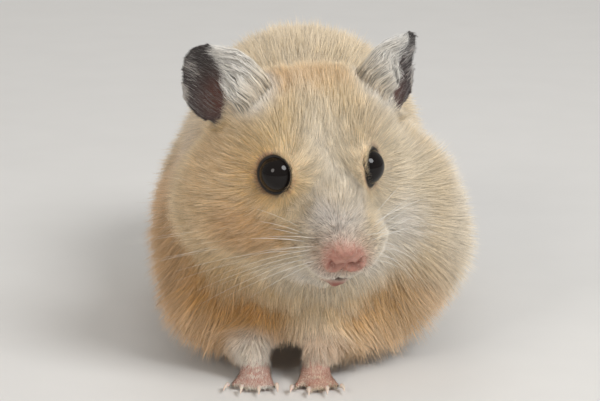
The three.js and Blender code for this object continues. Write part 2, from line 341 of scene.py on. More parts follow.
def marking_at(points, look):
    """The markings' colour at places on the skin or in the coat, including the marks that are
    painted light or painted shade.
    """
    dyes = {name: np.array(getattr(look, name)) for name in DYES}
    colour = np.tile(dyes["golden"] * 0.6 + dyes["pale"] * 0.4, (len(points), 1))
    for where, middle, half, softness, name, strength in MARKS:
        lay_over(colour, strength * within(points, where, middle, half, softness), dyes[name])
    skin = np.tile(dyes["ear"], (len(points), 1))
    for side in SIDES.values():
        across, along, spread, over = on_ear(points, side)
        open_face = (spread < 1.4) & (over < 0.2) & (over > -2.4)
        hollow = np.exp(-(((across - 0.35) / 0.5) ** 2) - ((along + 0.25) / 0.55) ** 2)
        lay_over(skin, open_face * hollow, dyes["hollow"])
    lay_over(colour, ear_share(points), skin)
    for side in SIDES.values():
        outside, far, _ = eye_polar(points, side)
        lashes = fall(outside, 0.10, 0.21) * fall(far, 4.8, 6.2)
        colour *= 1 - 0.85 * lashes[:, None]
    return colour


# How the head's coat lies: it runs away from a place in front of the nose, is pushed away from
# each eye within a reach of it, and turns down over the cheeks.
PART_AT = (0, -3, -1)
PUSH_FROM_EYE, EYE_REACH = 4.5, 6.2
CHEEK_DROP = 0.35


def lie_of_coat(points, normals):
    """Which way the coat lies at each place, along the skin: away from the nose and round the
    eyes, back over the body, down on the breast and out along the ears."""
    head = into_head(points)
    away = head - PART_AT
    size = np.linalg.norm(away, axis=1)[:, None]
    cheek = ramp(np.abs(head[:, 0]), 5, 16) * fall(head[:, 2], -4, 8)
    away[:, 2] -= CHEEK_DROP * size[:, 0] * cheek
    for side in SIDES.values():
        offset = head - mirrored(EYE_AT, side)
        far = np.linalg.norm(offset, axis=1)[:, None]
        away += size * (offset / far) * PUSH_FROM_EYE * np.exp(-((far / EYE_REACH) ** 2))
    face = unit(away) @ HEAD_AXES.T
    level = 0 * points[:, 0]
    flank = ramp(np.abs(normals[:, 0]), 0.2, 0.9)
    rear = ramp(normals[:, 1], 0.2, 0.9)
    outwards = 0.1 * np.sign(points[:, 0]) * flank
    body = np.stack([outwards, level + 1, -0.15 - 0.5 * flank - rear], 1)
    breast = np.stack([points[:, 0] / 45, level + 0.1, level - 1], 1)
    front = (fall(points[:, 1], -36, -20) * fall(points[:, 2], 24, 40))[:, None]
    body = unit(body) * (1 - front) + unit(breast) * front
    paws = (fall(points[:, 2], 3, 8) * fall(points[:, 1], -42, -34))[:, None]
    body = body * (1 - paws) + np.array([0, -1, -0.3]) * paws
    share = (fall(head[:, 1], 27, 40) * ramp(head[:, 2], -20, -11))[:, None]
    flow = face * share + body * (1 - share)
    for side in SIDES.values():
        _, axes = ear_frame(side)
        across, along, spread, over = on_ear(points, side)
        leaf = leaf_share(along, spread, over)[:, None]
        out = np.stack([side * across * 0.8, level, along + 1.2], 1) @ axes.T
        flow = flow * (1 - leaf) + unit(out) * leaf
    flow -= normals * np.sum(flow * normals, 1)[:, None]
    return unit(flow)


# ---------------------------------------------------------------- mesh helpers


def read(collection, name, width=1, kind=np.float64):
    values = np.empty(len(collection) * width, kind)
    collection.foreach_get(name, values)
    return values.reshape(-1, width) if width > 1 else values


def move_vertices(me, points):
    """Gives a mesh's vertices new places, in millimetres."""
    me.vertices.foreach_set("co", (points * MM).ravel())
    me.update()


def mesh_of(name, points, corners, sides):
    """A mesh from arrays of points in millimetres and of faces that all have as many sides."""
    me = bpy.data.meshes.new(name)
    me.vertices.add(len(points))
    me.vertices.foreach_set("co", (points * MM).astype(np.float32).ravel())
    me.loops.add(len(corners))
    me.loops.foreach_set("vertex_index", corners.astype(np.int32))
    count = len(corners) // sides
    me.polygons.add(count)
    me.polygons.foreach_set("loop_start", np.arange(0, len(corners), sides, dtype=np.int32))
    me.update(calc_edges=True)
    return me


def put(name, me, material):
    """A new object for a finished mesh, smooth and in its material, riding on the body."""
    me.materials.append(material)
    me.polygons.foreach_set("use_smooth", np.ones(len(me.polygons), bool))
    piece = bpy.data.objects.new(name, me)
    bpy.context.scene.collection.objects.link(piece)
    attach(piece, "root")
    return piece


def write_attribute(me, name, kind, values):
    layer = me.attributes.new(name, kind, "POINT")
    field = "color" if kind == "FLOAT_COLOR" else "value"
    layer.data.foreach_set(field, np.ascontiguousarray(values, np.float32).ravel())


def write_colour(me, name, colours):
    solid = np.concatenate([colours, np.ones((len(colours), 1))], 1)
    write_attribute(me, name, "FLOAT_COLOR", solid)


def write_unwrap(me, places):
    layer = me.uv_layers.new(name="OFBake", do_init=False)
    layer.uv.foreach_set("vector", places.astype(np.float32).ravel())


def only(piece):
    """Makes one object the selected and active one."""
    bpy.ops.object.select_all(action="DESELECT")
    piece.select_set(True)
    bpy.context.view_layer.objects.active = piece


def finish_with(piece, kind, **values):
    """Adds a modifier with these values and applies it."""
    only(piece)
    modifier = piece.modifiers.new(kind.title(), kind)
    for key, value in values.items():
        setattr(modifier, key, value)
    bpy.ops.object.modifier_apply(modifier=modifier.name)


# ---------------------------------------------------------------- materials


def principled(name, **values):
    """A new material's node tree and its Principled shader, with plain values set on it."""
    material = bpy.data.materials.new(name)
    material.use_nodes = True
    tree = material.node_tree
    shader = tree.nodes["Principled BSDF"]
    for key, value in values.items():
        shader.inputs[key.replace("_", " ")].default_value = value
    return material, tree, shader


def set_input(tree, socket, value):
    """Gives a socket a plain value, or a link from another node."""
    if isinstance(value, (int, float)):
        socket.default_value = value
    elif isinstance(value, tuple):
        socket.default_value = (*value, 1)
    else:
        tree.links.new(value, socket)


def math_node(tree, operation, *values, clamp=False):
    node = tree.nodes.new("ShaderNodeMath")
    node.operation = operation
    node.use_clamp = clamp
    for socket, value in zip(node.inputs, values):
        set_input(tree, socket, value)
    return node.outputs[0]


def over_level(tree, value, level, factor, clamp=True):
    """How far a value lies over a level, times a factor."""
    over = math_node(tree, "SUBTRACT", value, level)
    return math_node(tree, "MULTIPLY", over, factor, clamp=clamp)


def mix_node(tree, factor, a, b, blend="MIX"):
    node = tree.nodes.new("ShaderNodeMix")
    node.data_type = "RGBA"
    node.blend_type = blend
    node.clamp_factor = True
    for number, value in ((0, factor), (6, a), (7, b)):
        set_input(tree, node.inputs[number], value)
    return node.outputs[2]


def noise_node(tree, scale, detail, stretch=None):
    place = tree.nodes.new("ShaderNodeTexCoord").outputs["Object"]
    if stretch:
        mapping = tree.nodes.new("ShaderNodeMapping")
        mapping.inputs["Scale"].default_value = stretch
        tree.links.new(place, mapping.inputs["Vector"])
        place = mapping.outputs["Vector"]
    noise = tree.nodes.new("ShaderNodeTexNoise")
    noise.inputs["Scale"].default_value = scale
    noise.inputs["Detail"].default_value = detail
    tree.links.new(place, noise.inputs["Vector"])
    return noise.outputs["Fac"]


def attribute_node(tree, name, output="Fac"):
    node = tree.nodes.new("ShaderNodeAttribute")
    node.attribute_name = name
    return node.outputs[output]


def clouded(name, scale, detail, one, other, stretch=None, **values):
    """A material whose colour drifts between two others."""
    material, tree, shader = principled(name, **values)
    cloud = noise_node(tree, scale, detail, stretch)
    tree.links.new(mix_node(tree, cloud, one, other), shader.inputs["Base Color"])
    return material


def coat_shades():
    """The group that turns a marking into a hair's colour: a dusky root, partly the hair's own
    darker base and partly painted shade deep in the coat, a light tip, and a little difference
    from one tuft to the next."""
    if "Coat Shades" in bpy.data.node_groups:
        return bpy.data.node_groups["Coat Shades"]
    tree = bpy.data.node_groups.new("Coat Shades", "ShaderNodeTree")
    for label, kind, value in (
        ("Marking", "Color", (0.7, 0.5, 0.3, 1)), ("Along", "Float", 0.5),
        ("Shade", "Float", 0.5), ("Root", "Color", (0.6, 0.5, 0.5, 1)),
        ("Tip", "Color", (0.9, 0.85, 0.8, 1)), ("Variation", "Float", 0.4),
    ):
        socket = tree.interface.new_socket(
            label, in_out="INPUT", socket_type="NodeSocket" + kind
        )
        socket.default_value = value
    tree.interface.new_socket("Color", in_out="OUTPUT", socket_type="NodeSocketColor")
    given = tree.nodes.new("NodeGroupInput").outputs
    marking, along = given["Marking"], given["Along"]
    # Painted shade: the colour darkens towards the root, partly the hair's own darker base and
    # partly the shade deep in the coat.
    root_shaded = mix_node(tree, 1.0, marking, given["Root"], "MULTIPLY")
    from_root = math_node(tree, "MULTIPLY", along, 2.2, clamp=True)
    body = mix_node(tree, from_root, root_shaded, marking)
    tipped = mix_node(tree, 0.30, marking, given["Tip"])
    body = mix_node(tree, over_level(tree, along, 0.45, 1.8), body, tipped)
    spread = over_level(tree, given["Shade"], 0.5, given["Variation"], clamp=False)
    scale = tree.nodes.new("ShaderNodeVectorMath")
    scale.operation = "SCALE"
    tree.links.new(body, scale.inputs[0])
    tree.links.new(math_node(tree, "ADD", spread, 1.0), scale.inputs["Scale"])
    result = tree.nodes.new("NodeGroupOutput")
    tree.links.new(scale.outputs[0], result.inputs["Color"])
    return tree


def coat_material(name, root, tip, variation):
    """Hair coloured by Coat Shades from the values that each tuft or strand carries."""
    material, tree, shader = principled(
        name, Roughness=0.62, Sheen_Weight=0.15, Sheen_Roughness=0.4
    )
    shades = tree.nodes.new("ShaderNodeGroup")
    shades.node_tree = coat_shades()
    shades.inputs["Root"].default_value = (*root, 1)
    shades.inputs["Tip"].default_value = (*tip, 1)
    shades.inputs["Variation"].default_value = variation
    for value, output in (("marking", "Color"), ("along", "Fac"), ("shade", "Fac")):
        tree.links.new(attribute_node(tree, value, output), shades.inputs[value.title()])
    tree.links.new(shades.outputs["Color"], shader.inputs["Base Color"])
    return material


def skin_material():
    """Bare skin: its markings with a little mottling, and fine pores."""
    material, tree, shader = principled(
        "Skin", Subsurface_Weight=0.12, Subsurface_Radius=(1.0, 0.4, 0.25),
        Subsurface_Scale=0.6 * MM,
    )
    marking = attribute_node(tree, "marking", "Color")
    mottle = over_level(tree, noise_node(tree, 900, 3), 0.3, 1.6)
    colour = mix_node(tree, mottle, marking, (0.62, 0.38, 0.34), "MULTIPLY")
    tree.links.new(colour, shader.inputs["Base Color"])
    pores = tree.nodes.new("ShaderNodeTexVoronoi")
    pores.inputs["Scale"].default_value = 3600
    place = tree.nodes.new("ShaderNodeTexCoord").outputs["Object"]
    tree.links.new(place, pores.inputs["Vector"])
    bump = tree.nodes.new("ShaderNodeBump")
    bump.inputs["Strength"].default_value = 0.7
    bump.inputs["Distance"].default_value = 0.14 * MM
    tree.links.new(pores.outputs["Distance"], bump.inputs["Height"])
    tree.links.new(bump.outputs["Normal"], shader.inputs["Normal"])
    rough = math_node(tree, "MULTIPLY_ADD", attribute_node(tree, "wet"), -0.25, 0.62)
    tree.links.new(rough, shader.inputs["Roughness"])
    return material


# ---------------------------------------------------------------- settings


def dye(name, description, shown):
    """A setting for a colour, from the values that a screen shows."""
    return FloatVectorProperty(
        name=name, description=description, subtype="COLOR", size=3, default=tuple(linear(shown))
    )


class HamsterLook(bpy.types.PropertyGroup):
    golden: dye("Golden", "Main colour of the coat", (0.870, 0.745, 0.535))
    # Orange also serves as painted shade on the left flank, chest, crown and left cheek.
    orange: dye("Orange", "Warm shade of the chest and crown", (0.805, 0.595, 0.325))
    # Pale also serves as painted light on the right flank and right cheek.
    pale: dye("Pale", "Pale shade of the flanks and belly", (0.900, 0.835, 0.725))
    white: dye("White", "White of the muzzle, throat and ear patches", (0.940, 0.920, 0.885))
    grey: dye("Grey", "Cool shade on the bridge of the nose", (0.915, 0.885, 0.860))
    rosy: dye("Rosy", "Bare pink skin of nose and feet", (0.775, 0.580, 0.515))
    ear: dye("Ear", "Dark skin of the ears", (0.200, 0.180, 0.180))
    hollow: dye("Ear hollow", "Red-brown skin deep in the ears", (0.400, 0.235, 0.185))
    length_scale: FloatProperty(
        name="Coat length", description="Length of every tuft against its own area's",
        default=1.0, min=0.5, max=1.5, subtype="FACTOR",
    )
    width_scale: FloatProperty(
        name="Tuft width", description="Width of every tuft against its own area's",
        default=1.0, min=0.3, max=2.0, subtype="FACTOR",
    )
    face_tufts: IntProperty(
        name="Head tufts", description="Number of tufts on the head", default=134000, min=100,
    )
    body_tufts: IntProperty(
        name="Body tufts", description="Number of tufts on neck, body and legs",
        default=165000, min=100,
    )
    down_tufts: IntProperty(
        name="Down tufts", description="Number of short tufts on muzzle and paws",
        default=30000, min=100,
    )
    ear_tufts: IntProperty(
        name="Ear tufts", description="Number of short tufts on the ears", default=16000,
        min=100,
    )
    silver_hairs: IntProperty(
        name="Silver hairs", description="Number of silvery hairs on the front of each ear",
        default=900, min=10,
    )
    eye_radius: FloatProperty(
        name="Eye radius", description="Radius of each eyeball in millimetres",
        default=3.6, min=2, max=5,
    )
    whisker_length: FloatProperty(
        name="Whisker length", description="Length of the longest whisker in millimetres",
        default=31.0, min=5, max=45,
    )


class HamsterStage(bpy.types.PropertyGroup):
    distance: FloatProperty(
        name="Camera distance", description="From the camera to the nose", default=0.42,
        unit="LENGTH",
    )
    elevation: FloatProperty(
        name="Camera elevation", description="How far the camera looks down",
        default=math.radians(14.5), subtype="ANGLE",
    )
    key_power: FloatProperty(
        name="Key light", description="Power of the main soft light", default=4.2, unit="POWER",
    )


# ---------------------------------------------------------------- stage


class HAMSTER_OT_stage(bpy.types.Operator):
    """Sets up the pale floor, the soft studio lights and the camera"""

    bl_idname = "hamster.stage"
    bl_label = "Stage"

    # The frame is 600 by 401, and the tip of the nose is seen at this place in it.
    FRAME_SIZE = (600, 401)
    NOSE_SEEN = (341, 252)
    PIXELS_PER_METRE = 5500.0
    # Name, place in metres, size, share of the key light's power, and tint.
    LIGHTS = (
        ("Key", (0.42, -0.46, 0.60), 0.36, 1.0, (0.98, 0.99, 1.0)),
        ("Fill", (-0.45, -0.62, 0.46), 0.30, 0.34, (1.0, 0.95, 0.88)),
        ("Back", (-0.05, 0.55, 0.66), 0.50, 0.22, (1.0, 1.0, 1.0)),
    )
    AIM = Vector((0, -0.03, 0.035))
    SKY, SKY_STRENGTH = (1.0, 0.985, 0.96, 1), 0.40

    def execute(self, context):
        stage = context.scene.hamster_stage
        self.floor()
        self.camera(stage)
        self.lights(stage)
        return {"FINISHED"}

    def floor(self):
        bpy.ops.object.select_all(action="DESELECT")
        bpy.ops.mesh.primitive_plane_add(size=12, location=(0, 3, 0))
        plane = bpy.context.active_object
        plane.name = "studio_floor"
        plane.data.materials.append(clouded(
            "Studio Floor", 60, 3, (0.76, 0.745, 0.72), (0.80, 0.785, 0.76), Roughness=0.85
        ))

    def camera(self, stage):
        wide, high = self.FRAME_SIZE
        focal = self.PIXELS_PER_METRE * stage.distance
        down = stage.elevation
        ahead = Vector((0, math.cos(down), -math.sin(down)))
        up = Vector((0, math.sin(down), math.cos(down)))
        right = Vector((1, 0, 0))
        u = (self.NOSE_SEEN[0] - wide / 2) / focal
        v = (high / 2 - self.NOSE_SEEN[1]) / focal
        camera = bpy.data.cameras.new("Camera")
        camera.sensor_width = 36
        camera.lens = focal / wide * camera.sensor_width
        camera.clip_start = 0.01
        holder = bpy.data.objects.new("Camera", camera)
        holder.location = Vector(NOSE_TIP * MM) - stage.distance * (ahead + u * right + v * up)
        holder.rotation_euler = (math.pi / 2 - down, 0, 0)
        bpy.context.scene.collection.objects.link(holder)
        bpy.context.scene.camera = holder

    def lights(self, stage):
        for name, place, size, share, tint in self.LIGHTS:
            lamp = bpy.data.lights.new(name, "AREA")
            lamp.shape = "DISK"
            lamp.size = size
            lamp.energy = stage.key_power * share
            lamp.color = tint
            holder = bpy.data.objects.new(name, lamp)
            holder.location = place
            aimed = (self.AIM - Vector(place)).to_track_quat("-Z", "Y")
            holder.rotation_euler = aimed.to_euler()
            bpy.context.scene.collection.objects.link(holder)
        world = bpy.data.worlds.new("Studio")
        bpy.context.scene.world = world
        world.use_nodes = True
        background = world.node_tree.nodes["Background"]
        background.inputs["Color"].default_value = self.SKY
        background.inputs["Strength"].default_value = self.SKY_STRENGTH
        bpy.context.scene.view_settings.view_transform = "Standard"


# ---------------------------------------------------------------- skin


class HAMSTER_OT_skin(bpy.types.Operator):
    """Joins copies of the flesh, remeshes them to one skin and sculpts lids, nose and mouth"""

    bl_idname = "hamster.skin"
    bl_label = "Skin"

    VOXEL = 0.66
    GROWTH = 0.32  # of each solid before they are joined, so that they overlap
    GROWTH_UNDONE = 0.6  # of the growth, taken off again with the depth of the coat
    PULL = 0.55  # how far relaxing moves a vertex towards its neighbours' middle
    ROUNDS, CREASE_ROUNDS, REFINED_ROUNDS, THINNED_ROUNDS = 40, 400, 6, 3
    BEHIND_EYE = 0.75  # how deep the skin lies inside an eyeball
    LID_REACH = 2.5  # how far beyond an eyeball its lids shape the skin
    COVERED = 0.75  # how much the coat hides the skin's markings
    LIP = linear((0.56, 0.24, 0.19))
    LID_RIM = (0.012, 0.009, 0.008)
    # Grooves and swellings on the muzzle: places across and up, radius and height. Each is
    # made on both sides.
    FOLDS = [
        ([(0.9, -4.6), (1.8, -5.4), (2.7, -4.6)], 0.48, -1.15),
        ([(2.7, -4.6), (3.1, -3.5)], 0.36, -0.55),
        ([(3.4, -5.4), (2.8, -6.6), (1.6, -6.8)], 0.62, 0.42),
        ([(0.9, -2.6), (2.0, -2.0), (2.3, -0.6)], 0.36, -0.22),
        ([(0.8, -0.4), (1.3, 1.4)], 0.42, -0.18),
        ([(0, -4.2), (0, -6.6)], 0.30, -0.34),
        ([(0, -6.6), (0, -9.8)], 0.34, -0.40),
        ([(0, -10.1), (2.2, -10.3), (4.6, -9.4), (6.6, -7.9)], 0.42, -0.55),
        ([(0, -10.2), (1.3, -10.2)], 0.45, -0.70),
        ([(0, -11.5), (1.3, -11.4)], 0.90, 1.10),
        ([(0, -13.2), (2.6, -12.8)], 1.9, 1.30),
    ]

    def execute(self, context):
        look = context.scene.hamster_look
        skin = self.joined_copies()
        finish_with(skin, "REMESH", mode="VOXEL", voxel_size=self.VOXEL * MM)
        self.keep_largest(skin)
        self.relax(skin, self.ROUNDS)
        self.relax(skin, self.CREASE_ROUNDS, self.crease)
        only(skin)
        bpy.ops.object.mode_set(mode="EDIT")
        bpy.ops.mesh.select_all(action="SELECT")
        bpy.ops.uv.smart_project(angle_limit=1.15, island_margin=0.004, scale_to_bounds=True)
        bpy.ops.object.mode_set(mode="OBJECT")
        skin.data.uv_layers[0].name = "OFBake"
        self.refine(skin)
        self.relax(skin, self.REFINED_ROUNDS)
        self.thin(skin)
        self.relax(skin, self.THINNED_ROUNDS)
        self.sculpt(skin, look)
        self.colour(skin, look)
        me = skin.data
        me.materials.clear()
        me.materials.append(skin_material())
        me.polygons.foreach_set("use_smooth", np.ones(len(me.polygons), bool))
        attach(skin, "root")
        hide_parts(*FLESH)
        return {"FINISHED"}

    def joined_copies(self):
        copies = []
        for name in [*FLESH, "eye_left", "eye_right"]:
            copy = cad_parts[name].copy()
            copy.data = copy.data.copy()
            copy.parent = None
            for key in list(copy.keys()):
                del copy[key]
            bpy.context.scene.collection.objects.link(copy)
            bm = bmesh.new()
            bm.from_mesh(copy.data)
            bmesh.ops.remove_doubles(bm, verts=bm.verts, dist=1e-6)
            bm.normal_update()
            for vertex in bm.verts:
                vertex.co += vertex.normal * self.GROWTH * MM
            bm.to_mesh(copy.data)
            bm.free()
            copies.append(copy)
        bpy.ops.object.select_all(action="DESELECT")
        for copy in copies:
            copy.select_set(True)
        bpy.context.view_layer.objects.active = copies[0]
        bpy.ops.object.join()
        skin = bpy.context.active_object
        skin.name = "skin"
        skin.data.name = "skin"
        for layer in list(skin.data.uv_layers):
            skin.data.uv_layers.remove(layer)
        return skin

    def keep_largest(self, skin):
        """Drops what is walled in between the joined solids."""
        me = skin.data
        edges = read(me.edges, "vertices", 2, np.int32)
        label = np.arange(len(me.vertices))
        while True:
            low = np.minimum(label[edges[:, 0]], label[edges[:, 1]])
            new = label.copy()
            np.minimum.at(new, edges[:, 0], low)
            np.minimum.at(new, edges[:, 1], low)
            new = new[new]
            if (new == label).all():
                break
            label = new
        keep = np.bincount(label).argmax()
        if (label != keep).any():
            bm = bmesh.new()
            bm.from_mesh(me)
            loose = [v for v, one in zip(bm.verts, label) if one != keep]
            bmesh.ops.delete(bm, geom=loose, context="VERTS")
            bm.to_mesh(me)
            bm.free()

    def crease(self, points):
        """1 in the valley between cheeks and shoulders, which fat and fur fill out."""
        face = fall(into_head(points)[:, 1], 22, 34)
        around = within(points, "body", (1, -30, 27), (36, 17, 24), 0.5)
        return around * (1 - face) * (1 - ear_share(points))

    def relax(self, skin, rounds, where=None):
        """Evens out the facets, least where the form is fine."""
        me = skin.data
        points = read(me.vertices, "co", 3) / MM
        a, b = read(me.edges, "vertices", 2, np.int32).T
        count = np.bincount(a, minlength=len(points)) + np.bincount(b, minlength=len(points))
        fine = np.maximum(ear_share(points), fall(coat_at(points)[:, 1], 0.2, 1.5))
        near_nose = fall(np.linalg.norm(points - NOSE_TIP, axis=1), 3, 9)
        pull = (self.PULL * (1 - np.maximum(0.75 * fine, 0.5 * near_nose)))[:, None]
        if where:
            pull *= where(points)[:, None]
        for _ in range(rounds):
            total = [
                np.bincount(a, there[b], len(points)) + np.bincount(b, there[a], len(points))
                for there in points.T
            ]
            points += pull * (np.stack(total, 1) / count[:, None] - points)
        move_vertices(me, points)

    def refine(self, skin):
        """Gives the nose, mouth and lids a finer mesh."""
        bm = bmesh.new()
        bm.from_mesh(skin.data)
        # Places, and how far around them the mesh is split in each of two rounds.
        spots = [(NOSE_TIP, (8.5, 5.0)), (out_of_head((0, 4, -8)), (6.8, 4.0))]
        spots += [(out_of_head(mirrored(EYE_AT, side)), (5.6, 4.8)) for side in SIDES.values()]
        for k in range(2):
            middles = np.array([f.calc_center_median() for f in bm.faces]) / MM
            near = [np.linalg.norm(middles - spot, axis=1) < reach[k] for spot, reach in spots]
            chosen = np.any(near, axis=0)
            bm.faces.ensure_lookup_table()
            edges = {e for i in np.flatnonzero(chosen) for e in bm.faces[i].edges}
            bmesh.ops.subdivide_edges(bm, edges=list(edges), cuts=1, use_grid_fill=True)
        bmesh.ops.triangulate(bm, faces=[f for f in bm.faces if len(f.verts) > 4])
        bm.to_mesh(skin.data)
        bm.free()

    def thin(self, skin):
        """Moves the skin in by the depth of the coat."""
        me = skin.data
        points = read(me.vertices, "co", 3) / MM
        normals = read(me.vertices, "normal", 3)
        depth = coat_at(points)[:, 1] + self.GROWTH * self.GROWTH_UNDONE
        step = normals * depth[:, None]
        # Nothing near the floor moves down.
        step[:, 2] = np.where(points[:, 2] < 3, np.minimum(step[:, 2], 0), step[:, 2])
        points -= step
        points[:, 2] = np.maximum(points[:, 2], 0.02)
        move_vertices(me, points)

    def folded(self, skin):
        """The skin's vertices, moved in or out along the folds of the muzzle."""
        points = read(skin.data.vertices, "co", 3) / MM
        normals = read(skin.data.vertices, "normal", 3)
        surface = BVHTree.FromObject(skin, bpy.context.evaluated_depsgraph_get())
        head = straight_into_head(points)
        for line, radius, height in self.FOLDS:
            share = 0.5 if line[0][0] == 0 else 1.0  # a line on the middle is met twice
            for side in SIDES.values():
                starts = [NOSE_TIP + HEAD_AXES @ [side * x, -12, z] for x, z in line]
                ahead = Vector(HEAD_AXES[:, 1])
                places = [surface.ray_cast(Vector(start * MM), ahead)[0] for start in starts]
                on_skin = straight_into_head(np.array(places) / MM)
                near = np.full(len(points), np.inf)
                for a, b in zip(on_skin[:-1], on_skin[1:]):
                    t = np.clip((head - a) @ (b - a) / ((b - a) @ (b - a)), 0, 1)
                    off = np.linalg.norm(head - a - t[:, None] * (b - a), axis=1)
                    near = np.minimum(near, off)
                points += normals * (share * height * np.exp(-((near / radius) ** 2)))[:, None]
        return points

    def sculpt(self, skin, look):
        """Folds the muzzle, closes the lids round the eyes and leans the muzzle over."""
        points = self.folded(skin)
        hidden = look.eye_radius - self.BEHIND_EYE
        margin = look.eye_radius + LID_THICKNESS
        for side in SIDES.values():
            centre = out_of_head(mirrored(EYE_AT, side))
            outside, far, ray = eye_polar(points, side)
            shell = hidden + (margin - hidden) * ramp(outside, -0.05, 0.10)
            muzzle = ramp(far, 4.4, 5.6) * ramp(outside, -0.3, -0.05)
            own = np.maximum(ramp(outside, 0.06, 0.34), muzzle)
            reach = shell * (1 - own) + far * own
            near = far < look.eye_radius + self.LID_REACH
            points[near] = (centre + ray * reach[:, None])[near]
        move_vertices(skin.data, out_of_head(straight_into_head(points)))

    def colour(self, skin, look):
        me = skin.data
        points = read(me.vertices, "co", 3) / MM
        colour = marking_at(points, look)
        under = (np.array(look.rosy) * 0.55 + np.array(look.pale) * 0.35) * 0.85
        lay_over(colour, ramp(coat_at(points)[:, 1], 0.5, 2.5) * self.COVERED, under)
        nose = within(points, "head", (-0.2, 0.9, -3.9), (5.0, 4.2, 5.3), 0.7)
        bare = [within(points, "body", middle, half, 0.4) for middle, half in BARE]
        lay_over(colour, np.max([nose, *bare], 0), look.rosy)
        head = into_head(points)
        lip = soft_spot(head, MOUTH_AT, (2.1, 4, 1.25))
        lay_over(colour, 0.9 * lip, self.LIP)
        # Painted shade: the slit of the mouth is darkened for the shade in it.
        painted_slit_shade = soft_spot(head, MOUTH_AT + [0.3, 0, 1.35], (1.5, 4, 0.34))
        colour *= 1 - 0.75 * painted_slit_shade[:, None]
        for side in SIDES.values():
            # Painted shade: each nostril is darkened for the shade inside it.
            painted_nostril_shade = soft_spot(head, (side * 1.9, 1.0, -5.3), (1.05, 1.5, 0.62))
            colour *= 1 - 0.85 * painted_nostril_shade[:, None]
            outside, far, _ = eye_polar(points, side)
            rim = fall(outside, 0.12, 0.26) * fall(far, 4.05, 4.45)
            lay_over(colour, rim, self.LID_RIM)
        write_colour(me, "marking", colour)
        write_attribute(me, "wet", "FLOAT", np.maximum(nose, 0.6 * lip))


# ---------------------------------------------------------------- eyes, claws and whiskers


class HAMSTER_OT_eyes(bpy.types.Operator):
    """Models the two wet black eyes, each with a slightly bulging front"""

    bl_idname = "hamster.eyes"
    bl_label = "Eyes"

    BULGE = 1.04

    def execute(self, context):
        look = context.scene.hamster_look
        material = clouded(
            "Wet Black Eye", 420, 2, (0.0035, 0.0028, 0.0030), (0.010, 0.0065, 0.0050),
            Roughness=0.06, Specular_IOR_Level=0.24,
        )
        for name, side in SIDES.items():
            centre = out_of_head(mirrored(EYE_AT, side))
            axis = Vector(unit(mirrored(EYE_AXIS, side)) @ HEAD_AXES.T)
            bpy.ops.object.select_all(action="DESELECT")
            bpy.ops.mesh.primitive_uv_sphere_add(
                segments=48, ring_count=32, radius=look.eye_radius * MM
            )
            eye = bpy.context.active_object
            eye.name = f"eyeball_{name}"
            turn = axis.to_track_quat("Z", "Y").to_matrix().to_4x4()
            bulge = Matrix.Diagonal((1, 1, self.BULGE, 1))
            eye.data.transform(Matrix.Translation(centre * MM) @ turn @ bulge)
            bpy.ops.object.shade_smooth()
            eye.data.materials.append(material)
            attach(eye, "root")
            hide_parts(f"eye_{name}")
        return {"FINISHED"}


def tubes(lines, radii, sides):
    """Points and triangles of tapered tubes along lines of equally many places, in
    millimetres, closed at both ends, with a radius at each place."""
    count, places = lines.shape[:2]
    ahead = unit(np.gradient(lines, axis=1))
    aside = unit(np.cross(ahead, [0.31, 0.17, 0.93]))
    over = np.cross(ahead, aside)
    turn = np.linspace(0, 2 * np.pi, sides, endpoint=False)
    ring = [np.cos(a) * aside + np.sin(a) * over for a in turn]
    ring = np.stack(ring, 2)
    points = lines[:, :, None] + ring * radii[:, :, None, None]
    faces = []
    for i in range(places - 1):
        for k in range(sides):
            a, b = i * sides + k, i * sides + (k + 1) % sides
            faces += [(a, b, b + sides), (a, b + sides, a + sides)]
    last = (places - 1) * sides
    for k in range(1, sides - 1):
        faces += [(0, k + 1, k), (last, last + k, last + k + 1)]
    starts = places * sides * np.arange(count)[:, None, None]
    return points.reshape(-1, 3), (np.array(faces) + starts).reshape(-1)


def lay_strands(name, lines, width, colour, material, skin, rng):
    """One piece of fine strands along their own lines, as wide as given in the middle."""
    count, places = lines.shape[:2]
    t = np.linspace(0, 1, places)
    taper = np.interp(t, [0, 0.3, 1], [0.8, 1.0, 0.12])
    radii = width / 2 * taper * rng.uniform(0.7, 1.2, (count, 1))
    points, faces = tubes(lines, radii, 3)
    me = mesh_of(name, points, faces, 3)
    home = skin.nearest(lines[:, 0])[1]
    corners = np.stack([np.repeat(t - 0.5, 3) * 2, np.tile([-1, 0, 1], places)], 1) * ROOT_PATCH
    write_unwrap(me, (home[:, None] + corners).reshape(-1, 2)[faces])
    each = np.broadcast_to(colour, (count, 3))
    write_colour(me, "marking", np.repeat(each, places * 3, axis=0))
    write_attribute(me, "along", "FLOAT", np.tile(np.repeat(t, 3), count))
    write_attribute(me, "shade", "FLOAT", np.repeat(rng.uniform(0, 1, count), places * 3))
    put(name, me, material)


class HAMSTER_OT_claws(bpy.types.Operator):
    """Models a curved claw at the tip of each toe"""

    bl_idname = "hamster.claws"
    bl_label = "Claws"

    ROOT_RADIUS, TIP_RADIUS = 0.46, 0.03
    ARCH = 1.1

    def execute(self, context):
        t = np.linspace(0, 1, 8)[:, None]
        lines = []
        for name in CLAWS:
            points = read(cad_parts[name].data.vertices, "co", 3) / MM
            root = points[points[:, 1] > points[:, 1].max() - 0.05].mean(0)
            tip = points[points[:, 1].argmin()]
            lines.append(root + (tip - root) * t + [0, 0, self.ARCH] * t * (1 - t))
        radii = self.ROOT_RADIUS * (1 - t[:, 0]) ** 0.75 + self.TIP_RADIUS
        radii = np.tile(radii, (len(lines), 1))
        points, faces = tubes(np.array(lines), radii, 8)
        material = clouded(
            "Pale Horn", 2500, 2, (0.72, 0.55, 0.45), (0.85, 0.74, 0.64), stretch=(1, 0.2, 1),
            Roughness=0.35, Subsurface_Weight=0.2, Subsurface_Scale=0.4 * MM,
        )
        claws = put("claws", mesh_of("claws", points, faces, 3), material)
        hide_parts(*CLAWS)
        return {"FINISHED"}


